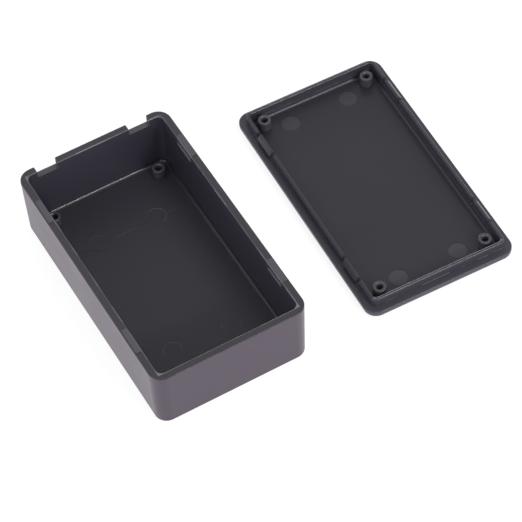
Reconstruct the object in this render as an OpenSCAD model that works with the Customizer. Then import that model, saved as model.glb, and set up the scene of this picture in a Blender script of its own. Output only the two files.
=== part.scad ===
// Plastic project box: a deep open base and its snap-fit lid, which lies
// inside-up beside the base. All lengths are in millimetres.
//
// The origin is the middle of the base's underside. +X runs along the base,
// away from its notched end wall. +Y points from the base towards the lid.
// +Z points up. The lid is drawn about its own middle, outer face down, and
// is then set down beside the base.

/* [Base] */
// Length over the rim
base_length = 100; // [90:1:140]
// Width over the rim
base_width = 57.2; // [50:0.2:90]
// Height from the underside to the rim
base_height = 25.3; // [18:0.1:50]
// Radius of the upright outer corners, at the rim
corner_radius = 5; // [4.5:0.1:8]
// Thickness of the side walls, at the rim
wall = 2.7; // [2.2:0.1:3]
// Thickness of the floor
base_floor = 2; // [1.6:0.1:3]
// Inward lean of each outer wall face, from the rim down to the underside
outer_lean = 0.6; // [0.1:0.1:0.8]
// Inward lean of each inner wall face, from the rim down to the floor
inner_lean = 0.3; // [0.1:0.1:0.5]
// Rounding along the outer edge of the underside
foot_radius = 0.8; // [0.4:0.1:1.5]
// Fillet where the inner walls meet the floor
floor_fillet = 1.1; // [0.3:0.1:1.4]
// Small rounding along the free edges of walls and posts
edge_radius = 0.35; // [0.1:0.05:0.4]

/* [Opening notches in the end wall] */
// Width of each notch
notch_width = 8.1; // [5:0.1:10]
// Depth of each notch below the rim, at the wall's outer face
notch_depth = 3.8; // [2.5:0.1:8]
// Fall of the notch's floor from the wall's inner face to its outer face
notch_fall = 1; // [0:0.1:1.5]
// Radius of the notch's lower corners
notch_corner = 0.6; // [0.2:0.1:1.2]
// Distance between the middles of the two notches
notch_spacing = 35.2; // [20:0.1:38]

/* [Floor panel] */
// Length of the shallow recess in the floor
panel_length = 52; // [30:1:60]
// Width of the shallow recess in the floor
panel_width = 49; // [30:0.5:49]
// Depth of the shallow recess
panel_depth = 0.25; // [0.1:0.05:0.5]
// Distance of the recess's middle from the box's middle, away from the notches
panel_shift = 0.5; // [-5:0.1:5]

/* [Lid] */
// Amount the lid is narrower than the rim, on each long side
lid_side_inset = 0.3; // [0:0.1:0.6]
// Amount the lid is shorter than the rim, at each end
lid_end_inset = 0.6; // [0:0.1:0.8]
// Full thickness of the lid's border
lid_thickness = 3.8; // [3:0.1:6]
// Thickness of the thinner plate inside the rib
lid_plate = 2; // [1.6:0.1:2.6]
// Rounding along the outer edge of the lid's outer face
lid_edge_radius = 2.5; // [1:0.1:2.8]

/* [Lid rib] */
// Clearance between the rib and the base's long walls, on each side
rib_gap = 0.2; // [0.1:0.05:0.4]
// Clearance between the rib and the base's end walls, at each end
rib_end_gap = 0.7; // [0.1:0.05:0.9]
// Thickness of the rib
rib_wall = 1.2; // [1.1:0.1:1.6]
// Height of the rib above the lid's border
rib_height = 3.4; // [2.8:0.1:4.5]
// Rounding along both top edges of the rib
rib_edge_radius = 0.5; // [0.1:0.05:0.5]
// Fillet where the rib's inner face meets the plate
rib_fillet = 1.1; // [0.2:0.1:1.2]

/* [Snap fit] */
// Distance between the middles of the two snaps on each long side
snap_spacing = 61.8; // [50:0.2:64]
// Length of each snap tab on the lid
tab_length = 9; // [6:0.1:12]
// Gap in the rib at each end of a snap tab
tab_gap = 1.5; // [1:0.1:2.4]
// Reach of each tab's hook beyond the rib
hook_reach = 0.75; // [0.4:0.05:1]
// Height of each hook, from its catch to the top of the rib
hook_height = 1.8; // [1.3:0.1:2]
// Straight part of the hook next to its catch
hook_land = 0.3; // [0.1:0.1:0.5]
// Clearance around the hook in its slot
snap_clearance = 0.1; // [0.05:0.05:0.3]
// Clearance at each end of the hook in its slot
snap_end_clearance = 0.3; // [0.2:0.1:1]
// Room in the slot beyond the tip of the hook
slot_spare_depth = 0.25; // [0.1:0.05:0.5]
// Height of each slot
slot_height = 2.3; // [2:0.1:3]

/* [Raised pads on the rim] */
// Length of the pad beside each snap slot
pad_length = 10.6; // [6:0.2:14]
// Width of the pad, outwards from the rim's inner edge
pad_width = 2.3; // [1:0.1:2.3]
// Height of the pads, on which the shut lid rests
pad_height = 0.15; // [0.05:0.05:0.3]

/* [Screw posts] */
// Distance between the posts along the box
post_spacing_x = 83; // [60:0.5:84]
// Distance between the posts across the box
post_spacing_y = 40.8; // [30:0.2:42]
// Outer diameter of each post
post_diameter = 4.7; // [4:0.1:5]
// Height of the posts above the base's floor and above the lid's plate
post_height = 4.3; // [3:0.1:6]
// Diameter of the pilot hole in each post
pilot_diameter = 2.4; // [1.8:0.1:2.8]
// Depth of the pilot hole below the top of its post
pilot_depth = 5; // [2.5:0.1:5.2]
// Diameter of the pilot hole's countersunk mouth
mouth_diameter = 3; // [2.8:0.1:3.6]
// Depth of the countersink
mouth_depth = 0.3; // [0.1:0.1:0.6]

/* [Ejector marks] */
// Diameter of each mark
mark_diameter = 6.7; // [4:0.1:8]
// Depth of the base's marks below the floor around the recess
base_mark_depth = 0.1; // [0.05:0.05:0.1]
// Depth of the lid's marks below the plate
lid_mark_depth = 0.15; // [0.05:0.05:0.3]
// Distance between the base's marks along the box
base_mark_spacing_x = 52.4; // [30:0.2:56]
// Distance between the base's marks across the box
base_mark_spacing_y = 22.2; // [12:0.2:30]
// Distance between the lid's marks along the box
lid_mark_spacing_x = 77; // [50:0.5:78]
// Distance between the lid's marks across the box
lid_mark_spacing_y = 22.9; // [12:0.1:24]

/* [Placing of the lid] */
// Distance of the lid's middle from the base's middle, along X
lid_x = 1.4; // [-40:0.1:40]
// Distance between the lid's long side and the base's, when they are parallel
lid_distance = 24.4; // [5:0.1:80]
// Turn of the lid about the vertical, in degrees
lid_turn = -2; // [-5:0.1:5]

/* [Smoothness] */
// Segments in a full circle
smoothness = 64; // [32:8:96]

/* [Hidden] */
$fn = smoothness;
plastic = "#2d2c2f";
// Extra length that carries a cut past the surface it opens
over = 1;
// Depth to which one solid is sunk into the next, so that they are one piece
sink = 0.2;
// Least radius left beside a fillet
spare_radius = 0.2;
// Least thickness of plastic under the blind end of a pilot hole
pilot_floor = 1;

inner_length = base_length - 2 * wall;
inner_width = base_width - 2 * wall;
inner_corner = max(corner_radius - wall, inner_lean + floor_fillet + spare_radius);
cavity_depth = base_height - base_floor;

rib_length = inner_length - 2 * rib_end_gap;
rib_width = inner_width - 2 * rib_gap;
rib_corner = max(inner_corner - rib_gap, spare_radius);
rib_top = lid_thickness + rib_height;
tray_length = rib_length - 2 * rib_wall;
tray_width = rib_width - 2 * rib_wall;
tray_corner = max(rib_corner - rib_wall, rib_fillet + spare_radius);

lid_length = base_length - 2 * lid_end_inset;
lid_width = base_width - 2 * lid_side_inset;
lid_corner = corner_radius - lid_side_inset;
lid_y = (base_width + lid_width) / 2 + lid_distance;

catch_z = rib_top - hook_height;
slot_length = tab_length + 2 * snap_end_clearance;
slot_depth = hook_reach - rib_gap + slot_spare_depth;
slot_top = base_height + pad_height - (catch_z - lid_thickness) + snap_clearance;

// Draws its children at the four corners of an x by y rectangle
module at_corners(x, y) {
    for (side_x = [-1, 1])
        for (side_y = [-1, 1])
            translate([side_x * x / 2, side_y * y / 2, 0])
                children();
}

// Quarter disc that rounds an outer edge: `side` is -1 below and 1 above
module edge_disc(radius, side) {
    intersection() {
        circle(r = radius);
        translate([0, min(side, 0) * radius])
            square(radius);
    }
}

// Half of a section through a block: from its axis out to a face that stands
// at `reach` at the top and leans in by `lean` below. Its lower edge has the
// radius `edge` and its upper edge the radius `rim`.
module half_section(reach, height, lean, edge, rim) {
    polygon(concat(
        [[0, 0]],
        edge > 0 ? [[reach - lean - edge, 0]] : [],
        [
            [reach - lean, edge],
            [reach, height - rim],
            [reach - rim, height],
            [0, height]
        ]
    ));
    if (edge > 0)
        translate([reach - lean - edge, edge])
            edge_disc(edge, -1);
    translate([reach - rim, height - rim])
        edge_disc(rim, 1);
}

// The same for a cut, whose upper edge flares to round the edge that it
// leaves. The cut runs on upwards, past that edge.
module half_cut_section(reach, height, lean, edge, rim) {
    difference() {
        polygon([
            [0, 0],
            [reach - lean - edge, 0],
            [reach - lean, edge],
            [reach, height - rim],
            [reach + rim, height],
            [reach + rim, height + over],
            [0, height + over]
        ]);
        translate([reach + rim, height - rim])
            circle(r = rim);
    }
    translate([reach - lean - edge, edge])
        edge_disc(edge, -1);
}

// Section of a block, or of a cut
module section(reach, height, lean, edge, rim, cut) {
    if (cut)
        half_cut_section(reach, height, lean, edge, rim);
    else
        half_section(reach, height, lean, edge, rim);
}

// Block with rounded upright corners, whose sides lean in by `lean` from its
// top to its underside, or a cut of that shape
module block(length, width, height, corner, lean, edge, rim, cut = false) {
    at_corners(length - 2 * corner, width - 2 * corner)
        rotate_extrude()
            section(corner, height, lean, edge, rim, cut);
    rotate([90, 0, 90])
        linear_extrude(height = length - 2 * corner, center = true)
            for (flip = [0, 1])
                mirror([flip, 0])
                    section(width / 2, height, lean, edge, rim, cut);
    rotate([90, 0, 0])
        linear_extrude(height = width - 2 * corner, center = true)
            for (flip = [0, 1])
                mirror([flip, 0])
                    section(length / 2, height, lean, edge, rim, cut);
}

// Box-shaped cut or boss, given by its middle in x and y and its foot
module upright_box(x, y, z, size) {
    translate([x - size[0] / 2, y - size[1] / 2, z])
        cube(size);
}

// Screw posts standing on the face at height z
module posts(z) {
    translate([0, 0, z - sink])
        at_corners(post_spacing_x, post_spacing_y)
            rotate_extrude()
                half_section(post_diameter / 2, post_height + sink, 0, 0, edge_radius);
}

// Blind pilot holes of the posts that stand on the face at height z
module pilot_holes(z) {
    top = z + post_height;
    depth = min(pilot_depth, top - pilot_floor);
    translate([0, 0, top - depth])
        at_corners(post_spacing_x, post_spacing_y)
            cylinder(d = pilot_diameter, h = depth + over);
    translate([0, 0, top - mouth_depth])
        at_corners(post_spacing_x, post_spacing_y)
            cylinder(d1 = pilot_diameter, d2 = mouth_diameter, h = mouth_depth);
}

// Room above the base's floor
module base_cavity() {
    translate([0, 0, base_floor])
        block(inner_length, inner_width, cavity_depth, inner_corner,
            inner_lean, floor_fillet, edge_radius, true);
}

// Outline of a notch, from the middle of its floor upwards
module notch_outline() {
    tall = notch_depth + notch_fall + over;
    straight = notch_width - 2 * notch_corner;
    translate([-straight / 2, 0])
        square([straight, tall]);
    translate([-notch_width / 2, notch_corner])
        square([notch_width, tall - notch_corner]);
    for (side = [-1, 1])
        translate([side * straight / 2, notch_corner])
            circle(r = notch_corner);
}

// Notches through the end wall, whose floors fall towards the outside
module notches() {
    slope = atan(notch_fall / wall);
    for (side = [-1, 1])
        translate([-base_length / 2, side * notch_spacing / 2, base_height - notch_depth])
            rotate([90 - slope, 0, 90])
                translate([0, 0, -over])
                    linear_extrude(height = wall + 2 * over)
                        notch_outline();
}

// Slots that the lid's hooks snap into, in the inner faces of the long walls
module snap_slots() {
    reach = inner_width / 2 + slot_depth;
    for (side_x = [-1, 1])
        upright_box(side_x * snap_spacing / 2, 0, slot_top - slot_height,
            [slot_length, 2 * reach, slot_height]);
}

// Pads that stand on the rim beside the snap slots, drawn across the cavity
module rim_pads() {
    reach = inner_width / 2 + pad_width;
    for (side_x = [-1, 1])
        upright_box(side_x * snap_spacing / 2, 0, base_height - sink,
            [pad_length, 2 * reach, pad_height + sink]);
}

// Shallow recess in the floor
module floor_panel() {
    upright_box(panel_shift, 0, base_floor - panel_depth,
        [panel_length, panel_width, panel_depth + over]);
}

// Flat round ejector marks in the floor, half in and half out of the recess
module base_marks(z, height) {
    translate([0, 0, z])
        at_corners(base_mark_spacing_x, base_mark_spacing_y)
            cylinder(d = mark_diameter, h = height);
}

// Box without its inside fittings
module base_shell() {
    difference() {
        union() {
            block(base_length, base_width, base_height, corner_radius,
                outer_lean, foot_radius, edge_radius);
            rim_pads();
        }
        base_cavity();
        floor_panel();
        base_marks(base_floor - base_mark_depth, over);
    }
}

// Deep box with notches, snap slots, posts and ejector marks
module base() {
    mark_foot = base_floor - panel_depth - sink;
    color(plastic)
        difference() {
            union() {
                base_shell();
                posts(base_floor);
                base_marks(mark_foot, base_floor - base_mark_depth - mark_foot);
            }
            pilot_holes(base_floor);
            notches();
            snap_slots();
        }
}

// Hooked outer side of one snap tab, drawn for the +Y side of the lid
module hook() {
    face = rib_width / 2;
    root = face - rib_edge_radius - sink;
    tip = face + hook_reach;
    top = rib_top - rib_edge_radius;
    rotate([90, 0, 90])
        linear_extrude(height = tab_length, center = true)
            polygon([
                [root, catch_z],
                [tip, catch_z],
                [tip, catch_z + hook_land],
                [face, top],
                [root, top]
            ]);
}

// Gaps in the rib that free the ends of the snap tabs
module tab_gaps() {
    pitch = tab_length + tab_gap;
    for (side_x = [-1, 1])
        for (end = [-1, 1])
            upright_box(side_x * snap_spacing / 2 + end * pitch / 2, 0,
                lid_thickness, [tab_gap, rib_width + 2 * over, rib_height + over]);
}

// Lid, inside-up: bordered plate, rib with snap tabs, posts and marks
module lid_solid() {
    difference() {
        union() {
            difference() {
                union() {
                    block(lid_length, lid_width, lid_thickness, lid_corner, 0,
                        lid_edge_radius, edge_radius);
                    translate([0, 0, lid_thickness - sink])
                        block(rib_length, rib_width, rib_height + sink,
                            rib_corner, 0, 0, rib_edge_radius);
                }
                translate([0, 0, lid_plate])
                    block(tray_length, tray_width, rib_top - lid_plate,
                        tray_corner, 0, rib_fillet, rib_edge_radius, true);
                tab_gaps();
            }
            posts(lid_plate);
            for (side_x = [-1, 1])
                translate([side_x * snap_spacing / 2, 0, 0]) {
                    hook();
                    mirror([0, 1, 0])
                        hook();
                }
        }
        pilot_holes(lid_plate);
        translate([0, 0, lid_plate - lid_mark_depth])
            at_corners(lid_mark_spacing_x, lid_mark_spacing_y)
                cylinder(d = mark_diameter, h = lid_mark_depth + over);
    }
}

// Lid laid down beside the base
module lid() {
    color(plastic)
        translate([lid_x, lid_y, 0])
            rotate([0, 0, lid_turn])
                lid_solid();
}

base();
lid();
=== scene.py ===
# %% [markdown]
# # A plastic project box with its lid off
#
# The part is two black mouldings: a deep base and a lid that lies inside-up
# beside it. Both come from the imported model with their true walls, posts,
# slots and rounded edges, so nothing is modelled again here. This lesson
# gives them the look of moulded ABS: what changes from place to place, how
# light slides off it, and a studio that shows it plainly.

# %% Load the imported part
import math

import bpy
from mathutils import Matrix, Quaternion, Vector


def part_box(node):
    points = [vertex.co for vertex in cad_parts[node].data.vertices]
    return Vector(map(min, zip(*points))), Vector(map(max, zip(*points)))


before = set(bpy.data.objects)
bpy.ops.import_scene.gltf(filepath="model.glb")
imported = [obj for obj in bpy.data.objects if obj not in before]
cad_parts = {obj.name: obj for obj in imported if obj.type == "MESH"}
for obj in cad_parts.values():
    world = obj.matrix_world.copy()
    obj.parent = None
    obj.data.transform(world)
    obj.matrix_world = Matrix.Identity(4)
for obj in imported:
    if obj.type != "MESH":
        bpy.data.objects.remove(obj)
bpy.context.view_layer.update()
base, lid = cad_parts["base"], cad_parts["lid"]

# %% [markdown]
# A new Blender file may start with a cube, a lamp and a camera. They would
# stand beside the box, so they go before anything is made.

# %% Clear what a new file starts with
for spare in ("Cube", "Light", "Camera"):
    if spare in bpy.data.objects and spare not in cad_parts:
        bpy.data.objects.remove(bpy.data.objects[spare])

# %% [markdown]
# ## Where things are
#
# Finishes change at the rim, inside the box and on small marks, so a few
# lengths are needed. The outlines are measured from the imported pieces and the
# rest are the mould's own lengths, all in millimetres. The lid lies turned a
# little about the vertical, so its own middle and turn are worked out once
# and its patterns are drawn about them.

# %% Measure the two pieces
MM = 1000.0
WALL = 2.7
RIM_Z = 25.3
base_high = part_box("base")[1] * MM
INNER_X = base_high.x - WALL
INNER_Y = base_high.y - WALL
lid_low, lid_high = [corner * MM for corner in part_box("lid")]
LID_MIDDLE = (lid_low + lid_high) / 2
LID_TURN = math.radians(-2.0)
print("cavity", 2 * INNER_X, "by", 2 * INNER_Y, "lid middle", LID_MIDDLE)

# %% [markdown]
# Both pieces have a floor 2 mm thick and four screw posts on the same
# pattern. What is higher than half the floor's thickness is on the inside, so
# one height parts the inside from the underside.

# %% Lengths that both pieces share
HALF_FLOOR = 1.0
POST_X, POST_Y, POST_RADIUS = 41.5, 20.4, 2.45
POST_LOW = 2.4
WALL_FOOT = 3.2
print("posts", 2 * POST_X, "by", 2 * POST_Y)

# %% [markdown]
# ## Writing shader maths as sums
#
# A mask such as "inside the box" is a sum of a few comparisons. Built node by
# node it takes a screen of wires, so a small class wraps a socket and lets
# Python's own signs add the Math nodes. `1 - mask` works too, because the
# reflected forms are there.

# %% A socket that can be used in sums
class Wire:
    def __init__(self, graph, socket):
        self.graph, self.socket = graph, socket

    def math(self, operation, *values):
        made = self.graph.node("ShaderNodeMath", {"operation": operation},
                               dict(enumerate(values)))
        return self.graph.wire(made)

    def __add__(self, other):
        return self.math("ADD", self, other)

    def __radd__(self, other):
        return self.math("ADD", other, self)

    def __sub__(self, other):
        return self.math("SUBTRACT", self, other)

    def __rsub__(self, other):
        return self.math("SUBTRACT", other, self)

    def __mul__(self, other):
        return self.math("MULTIPLY", self, other)

    def __rmul__(self, other):
        return self.math("MULTIPLY", other, self)

    def __truediv__(self, other):
        return self.math("DIVIDE", self, other)

    def __abs__(self):
        return self.math("ABSOLUTE", self)

    def root(self):
        return self.math("SQRT", self)

    def at_most(self, other):
        return self.math("MINIMUM", self, other)

    def at_least(self, other):
        return self.math("MAXIMUM", self, other)

    def above(self, edge, soft=0.15):
        """1 where this value is over `edge` and 0 where it is under, with a soft step."""
        return ((self - edge) / soft + 0.5).at_least(0.0).at_most(1.0)

    def below(self, edge, soft=0.15):
        return 1 - self.above(edge, soft)

# %% [markdown]
# Every other node comes from one method: the node's type, its settings, and
# what goes into its sockets, either a plain value or a wire. Colours are
# blended by a Mix node, because a Math node would turn them grey.

# %% A graph that adds nodes
class Graph:
    def __init__(self, tree):
        self.tree = tree
        tree.nodes.clear()

    def node(self, kind, settings=None, sockets=None):
        made = self.tree.nodes.new(kind)
        for name, value in (settings or {}).items():
            setattr(made, name, value)
        for name, value in (sockets or {}).items():
            if isinstance(value, Wire):
                self.tree.links.new(value.socket, made.inputs[name])
            else:
                made.inputs[name].default_value = value
        return made

    def wire(self, made, name=0):
        return Wire(self, made.outputs[name])

    def blend(self, mask, under, over):
        """Colour `over` where the mask is 1 and `under` where it is 0."""
        factor, first, second, result = 0, 6, 7, 2
        made = self.node("ShaderNodeMix", {"data_type": "RGBA"},
                         {factor: mask, first: under, second: over})
        return self.wire(made, result)

    def noise(self, place, scale, detail=2.0, roughness=0.5):
        made = self.node("ShaderNodeTexNoise", {},
                         {"Vector": place, "Scale": scale, "Detail": detail,
                          "Roughness": roughness})
        return self.wire(made, "Fac")

# %% [markdown]
# A finish is a material with such a graph in it. A piece that comes from the
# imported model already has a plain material, so putting a finish on means
# emptying its slots first.

# %% Start a finish and put it on a piece
def new_finish(name):
    material = bpy.data.materials.new(name)
    material.use_nodes = True
    return material, Graph(material.node_tree)


def dress(piece, finish):
    piece.data.materials.clear()
    piece.data.materials.append(finish)
    print(piece.name, "has", finish.name, "with", len(finish.node_tree.nodes), "nodes")

# %% [markdown]
# ## Places on a moulding
#
# The pattern of a finish must stay on its piece when the lid is lifted, so
# places come from the piece's own Object coordinates. They are read once,
# in millimetres. `disc` marks round spots that repeat at four corners, which
# is how screw posts stand and how ejector pins leave their marks.

# %% Read a place in millimetres
def place_of(graph):
    coordinates = graph.node("ShaderNodeTexCoord")
    vector = graph.wire(coordinates, "Object")
    split = graph.node("ShaderNodeSeparateXYZ", {}, {0: vector})
    x, y, z = [graph.wire(split, i) * MM for i in range(3)]
    return vector, x, y, z


def turned(x, y, middle, turn):
    """The same place measured about a turned middle."""
    dx, dy = x - middle.x, y - middle.y
    c, s = math.cos(turn), math.sin(turn)
    return dx * c + dy * s, dy * c - dx * s


def disc(x, y, at_x, at_y, radius, soft=0.15):
    dx, dy = abs(x) - at_x, abs(y) - at_y
    return (dx * dx + dy * dy).root().below(radius, soft)

# %% [markdown]
# ## Black ABS
#
# Black ABS is a very dark, slightly violet grey with an ordinary plastic
# gloss. The outside of the mould is spark-eroded, which gives a fine matt
# grain that catches light. The inside is plainly polished, so it is darker,
# smoother and mirrors the posts a little. An image of real grain would
# repeat and show its seams, so both the grain and the faint cloudy changes of
# gloss, where the melt cooled unevenly, come from noise.

# %% One finish for a moulding
CLOUD_SCALE, CLOUD_DEPTH = 45.0, 0.12
GRAIN_SCALE, GRAIN_DETAIL, GRAIN_ROUGHNESS = 3600.0, 3.0, 0.6
GRAIN_HEIGHT = 0.00002
OUTER_GRAIN, POLISH = 0.9, 0.6
ABS_IOR = 1.5


def moulded(graph, vector, colour, roughness, inside):
    cloud = graph.noise(vector, CLOUD_SCALE)
    fine = graph.noise(vector, GRAIN_SCALE, GRAIN_DETAIL, GRAIN_ROUGHNESS)
    grain = OUTER_GRAIN - inside * POLISH
    bump = graph.node("ShaderNodeBump", {},
                      {"Strength": 1.0, "Distance": GRAIN_HEIGHT, "Height": fine * grain})
    shade = graph.node("ShaderNodeBsdfPrincipled", {},
                       {"Base Color": colour,
                        "Roughness": roughness + (cloud - 0.5) * CLOUD_DEPTH,
                        "IOR": ABS_IOR,
                        "Normal": graph.wire(bump)})
    graph.node("ShaderNodeOutputMaterial", {}, {"Surface": graph.wire(shade)})

# %% [markdown]
# One batch of plastic doesn't give one colour. Where the mould is polished,
# the moulding looks darker, so each kind of surface has its own colour. The
# pale colours are painted highlights: light painted into the colour along
# rounded edges, in the snap slots and on low steps. They are used on thin
# lines and small faces only.

# %% Colours of the plastic and of the painted highlights
OUTSIDE = (0.057, 0.045, 0.067, 1.0)
ROSE = (0.063, 0.045, 0.067, 1.0)
INSIDE = (0.037, 0.035, 0.051, 1.0)
FLOOR = (0.029, 0.026, 0.035, 1.0)
RIM = (0.035, 0.033, 0.040, 1.0)
PAD = (0.063, 0.061, 0.070, 1.0)
BORDER = (0.043, 0.041, 0.053, 1.0)
RIB = (0.044, 0.042, 0.056, 1.0)
CROWN = (0.034, 0.032, 0.041, 1.0)
PLATE = (0.0245, 0.0225, 0.0300, 1.0)
MARK = (0.043, 0.041, 0.049, 1.0)
# Painted light: the posts' colour is lighter than the floor to lift the shade on their sides.
POST_PAINTED_LIGHT = (0.056, 0.054, 0.068, 1.0)
# The three pale colours below are painted highlights, on the steps, in the snap slots and
# along the rounded edges.
STEP_HIGHLIGHT = (0.22, 0.21, 0.24, 1.0)
SLOT_HIGHLIGHT = (0.20, 0.19, 0.22, 1.0)
EDGE_HIGHLIGHT = (0.15, 0.14, 0.165, 1.0)

# %% [markdown]
# ## The base
#
# The colour is laid on like coats of paint, the widest first. The matt
# outside has faint rosy clouds, the polished inside is darker, and the floor
# is darker still and fades up the rounded foot of the walls.

# %% Outside, inside and floor of the base
FLOOR_FADE = 1.2

finish, graph = new_finish("black_abs_base")
vector, x, y, z = place_of(graph)
inside = abs(x).below(INNER_X) * abs(y).below(INNER_Y) * z.above(HALF_FLOOR)
rosy = graph.noise(vector, 70.0, 3.0).above(0.52, 0.25)
colour = graph.blend(rosy, OUTSIDE, ROSE)
colour = graph.blend(inside, colour, INSIDE)
colour = graph.blend(inside * z.below(WALL_FOOT, FLOOR_FADE), colour, FLOOR)
print("floor colour below", WALL_FOOT, "mm")

# %% [markdown]
# The middle of the floor is a shallow panel, and its step shows as a thin
# broken line. The step is real, but a quarter of a millimetre is too low to
# catch the light by itself, so its upright face gets a painted highlight, a
# pale colour that comes and goes with a noise. The ejector marks cross the
# same height and are kept out of it.

# %% Paint a highlight on the step in the floor
STEP_LOW, STEP_HIGH = 1.78, 1.97
BASE_MARK_X, BASE_MARK_Y, BASE_MARK_RADIUS = 26.2, 11.1, 3.28

patchy = graph.noise(vector, 110.0).above(0.50, 0.10)
spots = disc(x, y, BASE_MARK_X, BASE_MARK_Y, BASE_MARK_RADIUS, 0.05)
# A painted highlight on the step's upright face, broken by the noise.
step_highlight = (inside * z.above(STEP_LOW, 0.02) * z.below(STEP_HIGH, 0.02) * (1 - spots)
        * (0.15 + patchy * 0.70))
colour = graph.blend(step_highlight, colour, STEP_HIGHLIGHT)
print("step from", STEP_LOW, "to", STEP_HIGH, "mm")

# %% [markdown]
# Four slots take the lid's hooks. Their faces get a pale colour, a painted
# highlight for the light that their ledges catch. The screw posts stand in the
# corners and are painted a shade lighter than the floor, painted light that
# lifts the shade on their sides.

# %% Paint highlights in the snap slots and lighten the posts
SNAP_X = 30.9
SLOT_HALF, SLOT_DEPTH = 5.2, 1.25
SLOT_LOW, SLOT_HIGH = 19.5, 23.5

# A painted highlight in the snap slots.
slot_highlight = (abs(abs(x) - SNAP_X).below(SLOT_HALF) * abs(y).above(INNER_Y + 0.06, 0.06)
         * abs(y).below(INNER_Y + SLOT_DEPTH, 0.1) * z.above(SLOT_LOW) * z.below(SLOT_HIGH))
colour = graph.blend(slot_highlight, colour, SLOT_HIGHLIGHT)
# The posts are painted lighter to lift the shade on their sides.
posts = disc(x, y, POST_X, POST_Y, POST_RADIUS) * z.above(POST_LOW, 0.4)
colour = graph.blend(posts, colour, POST_PAINTED_LIGHT)
print("slots at", SNAP_X, "mm from the middle")

# %% [markdown]
# The rim is plain, and so are the two opening notches cut down from it in the
# end wall. Beside each slot the rim carries a low pad that the shut lid rests
# on, rougher and paler than the rim. Along the rim's inner edge a painted
# highlight is drawn as a pale line over the rounded edge, broken by the same
# noise as the step's highlight.

# %% Colour the notches, the rim and its pads, and paint a highlight on its inner edge
NOTCH_OUT, NOTCH_LOW = -49.8, 20.8
PAD_HALF, PAD_WIDTH = 5.3, 2.3
EDGE_REACH = 0.32

rim = z.above(RIM_Z - 0.2) * (1 - inside)
notches = x.below(-INNER_X) * x.above(NOTCH_OUT) * z.above(NOTCH_LOW) * (1 - rim)
colour = graph.blend(notches, colour, RIM)
colour = graph.blend(rim, colour, RIM)
pad = (abs(abs(x) - SNAP_X).below(PAD_HALF) * abs(y).above(INNER_Y)
       * abs(y).below(INNER_Y + PAD_WIDTH) * z.above(RIM_Z + 0.05, 0.05))
colour = graph.blend(pad, colour, PAD)
# A painted highlight along the rim's rounded inner edge.
rim_edge_highlight = (abs(x).below(INNER_X + EDGE_REACH, 0.1) * abs(y).below(INNER_Y + EDGE_REACH, 0.1)
            * z.above(RIM_Z - EDGE_REACH, 0.1) * z.below(RIM_Z + 0.03, 0.03))
colour = graph.blend(rim_edge_highlight * (0.3 + patchy * 0.7), colour, EDGE_HIGHLIGHT)
print("rim from", RIM_Z - 0.2, "mm up")

# %% [markdown]
# Gloss tells more than colour on black plastic. Each amount below says how
# much rougher a place is than the wall: the pads and the notches scatter
# light, and the rounded foot of the walls is smoother and shows a sharp line.

# %% Give the base its gloss
BASE_ROUGHNESS = 0.30
FOOT_LOW = 2.15

flat = inside * z.below(FOOT_LOW, 0.1)
foot = inside * z.above(FOOT_LOW, 0.1) * z.below(WALL_FOOT, 0.4)
roughness = (BASE_ROUGHNESS + rim * 0.03 + pad * 0.18 + flat * 0.08 - foot * 0.14
             + notches * 0.40)
moulded(graph, vector, colour, roughness, inside)
dress(base, finish)

# %% [markdown]
# ## The lid
#
# The tray inside the rib is polished like the box. The border round it and
# the outer face have the fine grain. The rib stands on the border, and its
# rounded crown is darker than its sides.

# %% Border, rib and crown of the lid
RIB_X, RIB_Y, RIB_WALL = 46.6, 25.7, 1.2
BORDER_Z, RIB_LOW, CROWN_Z = 3.7, 4.0, 6.9

finish, graph = new_finish("black_abs_lid")
vector, x, y, z = place_of(graph)
u, v = turned(x, y, LID_MIDDLE, LID_TURN)
tray = (abs(u).below(RIB_X - RIB_WALL) * abs(v).below(RIB_Y - RIB_WALL)
        * z.above(HALF_FLOOR))
colour = graph.blend(z.above(BORDER_Z), OUTSIDE, BORDER)
colour = graph.blend(z.above(RIB_LOW), colour, RIB)
colour = graph.blend(z.above(CROWN_Z, 0.3), colour, CROWN)
print("rib", 2 * RIB_X, "by", 2 * RIB_Y)

# %% [markdown]
# Two painted highlights draw the rib as pale lines. One runs along the
# rounded inner edge of the crown at its near end. The other lies at its foot,
# where the rib meets the border, and is broken by a noise.

# %% Paint the highlights on the rib
HIGHLIGHT_OUT, HIGHLIGHT_IN, HIGHLIGHT_Z = 0.80, 1.5, 6.78
RIB_FOOT_LOW, RIB_FOOT_HIGH = 3.84, 4.10

patchy = graph.noise(vector, 160.0).above(0.47, 0.12)
# A painted highlight along the crown's inner edge at the near end.
rib_edge_highlight = (u.below(RIB_X - HIGHLIGHT_OUT, 0.2) * u.above(RIB_X - HIGHLIGHT_IN, 0.1)
            * abs(v).below(RIB_Y - HIGHLIGHT_OUT, 0.2) * z.above(HIGHLIGHT_Z, 0.1))
colour = graph.blend(rib_edge_highlight, colour, EDGE_HIGHLIGHT)
# A painted highlight at the rib's foot, broken by the noise.
rib_foot_highlight = (z.above(RIB_FOOT_LOW, 0.04) * z.below(RIB_FOOT_HIGH, 0.08) * (1 - tray)
            * patchy)
colour = graph.blend(rib_foot_highlight, colour, STEP_HIGHLIGHT)
print("rib foot from", RIB_FOOT_LOW, "to", RIB_FOOT_HIGH, "mm")

# %% [markdown]
# The plate is the darkest surface of all. Four ejector pins have pushed on it
# and left round marks, a shade paler, just inside the posts.

# %% Colour the plate and its marks, and lighten the posts
LID_MARK_X, LID_MARK_Y, LID_MARK_RADIUS = 38.5, 11.45, 3.35
MARK_Z = 1.95

colour = graph.blend(tray * z.below(WALL_FOOT, FLOOR_FADE), colour, PLATE)
marks = (disc(u, v, LID_MARK_X, LID_MARK_Y, LID_MARK_RADIUS) * z.below(MARK_Z, 0.05)
         * z.above(HALF_FLOOR))
colour = graph.blend(marks, colour, MARK)
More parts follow.
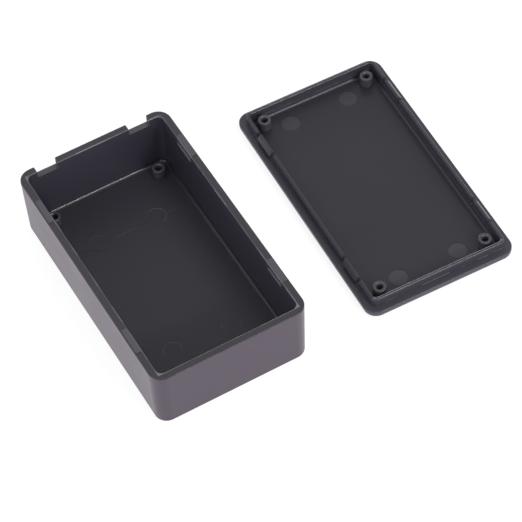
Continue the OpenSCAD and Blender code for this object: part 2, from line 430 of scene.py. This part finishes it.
# The posts are painted lighter to lift the shade on their sides.
posts = disc(u, v, POST_X, POST_Y, POST_RADIUS) * z.above(POST_LOW, 0.4)
colour = graph.blend(posts, colour, POST_PAINTED_LIGHT)
print("marks", 2 * LID_MARK_X, "by", 2 * LID_MARK_Y)

# %% [markdown]
# The border and the outer face are a little rougher than the rib, and the
# crown of the rib is smoother, which lets a strip of light run along it.

# %% Give the lid its gloss
LID_ROUGHNESS = 0.32
GLOSSY_Z = 6.6

border = z.below(RIB_FOOT_HIGH, 0.1) * (1 - tray)
roughness = LID_ROUGHNESS + border * 0.08 + marks * 0.06 - z.above(GLOSSY_Z, 0.3) * 0.12
moulded(graph, vector, colour, roughness, tray)
dress(lid, finish)

# %% [markdown]
# ## The table
#
# Glossy black plastic shows little of its own colour and much of what stands
# around it, so the white table matters more than the lamps. To the camera
# and to gloss the table is white and still takes a soft shadow. To soft
# light it is an ordinary pale surface. In gloss it is a little dimmer and
# has a breath of violet, which the outer walls pick up.

# %% Lay the table
TABLE_Z = -0.00005
CAMERA_WHITE = (0.84, 0.84, 0.84, 1.0)
GLOSS_WHITE = (0.77, 0.77 * 0.955, 0.77, 1.0)
PALE = (0.85, 0.85, 0.86, 1.0)
SHADOW = (0.25, 0.25, 0.25, 1.0)

bpy.ops.mesh.primitive_plane_add(size=8.0, location=(0.0, 0.0, TABLE_Z))
table = bpy.context.object
table.name = "table"
finish, graph = new_finish("white_table")
path = graph.node("ShaderNodeLightPath")
camera_ray = graph.wire(path, "Is Camera Ray")
seen = (camera_ray + graph.wire(path, "Is Glossy Ray")).at_most(1.0)
soft = graph.node("ShaderNodeBsdfDiffuse", {}, {"Color": PALE})
shadow = graph.node("ShaderNodeBsdfDiffuse", {}, {"Color": SHADOW})
glow = graph.node("ShaderNodeEmission", {},
                  {"Color": graph.blend(camera_ray, GLOSS_WHITE, CAMERA_WHITE)})
lit = graph.node("ShaderNodeAddShader", {}, {0: graph.wire(shadow), 1: graph.wire(glow)})
mixed = graph.node("ShaderNodeMixShader", {},
                   {0: seen, 1: graph.wire(soft), 2: graph.wire(lit)})
graph.node("ShaderNodeOutputMaterial", {}, {"Surface": graph.wire(mixed)})
dress(table, finish)

# %% [markdown]
# ## Light
#
# The studio is a white tent: bright all round near the table and dimmer
# overhead. The low light reaches upright faces and draws a bright line along
# every rounded edge. The camera doesn't look at the tent itself, it sees
# plain white paper behind the box.

# %% Raise the tent
TENT_LOW = (0.9682, 0.9991, 1.03, 1.0)
TENT_HIGH = (0.4512, 0.4656, 0.48, 1.0)
PAPER = (1.0, 1.0, 1.0, 1.0)

world = bpy.data.worlds.new("studio")
bpy.context.scene.world = world
world.use_nodes = True
graph = Graph(world.node_tree)
path = graph.node("ShaderNodeLightPath")
coordinates = graph.node("ShaderNodeTexCoord")
direction = graph.node("ShaderNodeSeparateXYZ", {},
                       {0: graph.wire(coordinates, "Generated")})
low = graph.wire(direction, 2).below(0.62, 0.25)
tent = graph.node("ShaderNodeBackground", {}, {"Color": graph.blend(low, TENT_HIGH, TENT_LOW)})
paper = graph.node("ShaderNodeBackground", {}, {"Color": PAPER})
mixed = graph.node("ShaderNodeMixShader", {},
                   {0: graph.wire(path, "Is Camera Ray"),
                    1: graph.wire(tent), 2: graph.wire(paper)})
graph.node("ShaderNodeOutputWorld", {}, {"Surface": graph.wire(mixed)})
print("tent has", len(world.node_tree.nodes), "nodes")

# %% [markdown]
# Four soft boxes give the box its form. The overhead box lights floor and
# plate from the near end. The left box reaches the inner wall on the right.
# The near strip draws the line along the far crease of the floor, and the far
# strip, almost level, draws the one on the near end of the lid's rib. Strips
# are used where a line is wanted and squares where a face is.

# %% Hang four soft boxes
BOX_MIDDLE = Vector((0.0, 0.035, 0.01))
# name: (place, width, height, watts)
SOFT_BOXES = {
    "overhead_box": (Vector((0.45, 0.15, 0.85)), 0.60, 0.60, 1.8),
    "left_box": (Vector((0.10, -0.70, 0.60)), 0.40, 0.40, 1.3),
    "near_strip": (Vector((0.78, 0.29, 0.60)), 0.30, 0.12, 2.8),
    "far_strip": (Vector((-0.96, 0.30, 0.24)), 0.50, 0.15, 2.0),
}

for name, (place, width, height, watts) in SOFT_BOXES.items():
    lamp = bpy.data.lights.new(name, "AREA")
    lamp.shape = "RECTANGLE"
    lamp.size, lamp.size_y = width, height
    lamp.energy = watts
    soft_box = bpy.data.objects.new(name, lamp)
    bpy.context.scene.collection.objects.link(soft_box)
    soft_box.location = place
    soft_box.rotation_euler = (BOX_MIDDLE - place).to_track_quat("-Z", "Y").to_euler()
    print(name, watts, "W at", tuple(place))

# %% [markdown]
# ## Camera
#
# A long lens from well above the near left corner keeps the long sides of
# the box almost parallel, as in a catalogue picture. The camera leans by
# about four degrees, so the box stands a little askew in the frame.

# %% Set the camera
AIM = Vector((0.0080940, 0.0328564, 0.0))
STAND = Vector((0.5079661, -0.2141564, 0.7506959))
LEAN = math.radians(-4.2055)
SENSOR_MM = 36.0
LENS_MM = 189.438

camera_data = bpy.data.cameras.new("camera")
camera_data.sensor_width = SENSOR_MM
camera_data.lens = LENS_MM
camera = bpy.data.objects.new("camera", camera_data)
bpy.context.scene.collection.objects.link(camera)
camera.location = STAND
camera.rotation_mode = "QUATERNION"
look = (AIM - STAND).to_track_quat("-Z", "Y")
camera.rotation_quaternion = look @ Quaternion((0, 0, 1), LEAN)
bpy.context.scene.camera = camera
bpy.context.scene.view_settings.view_transform = "Standard"
print("camera", tuple(camera.location), "lens", camera_data.lens)
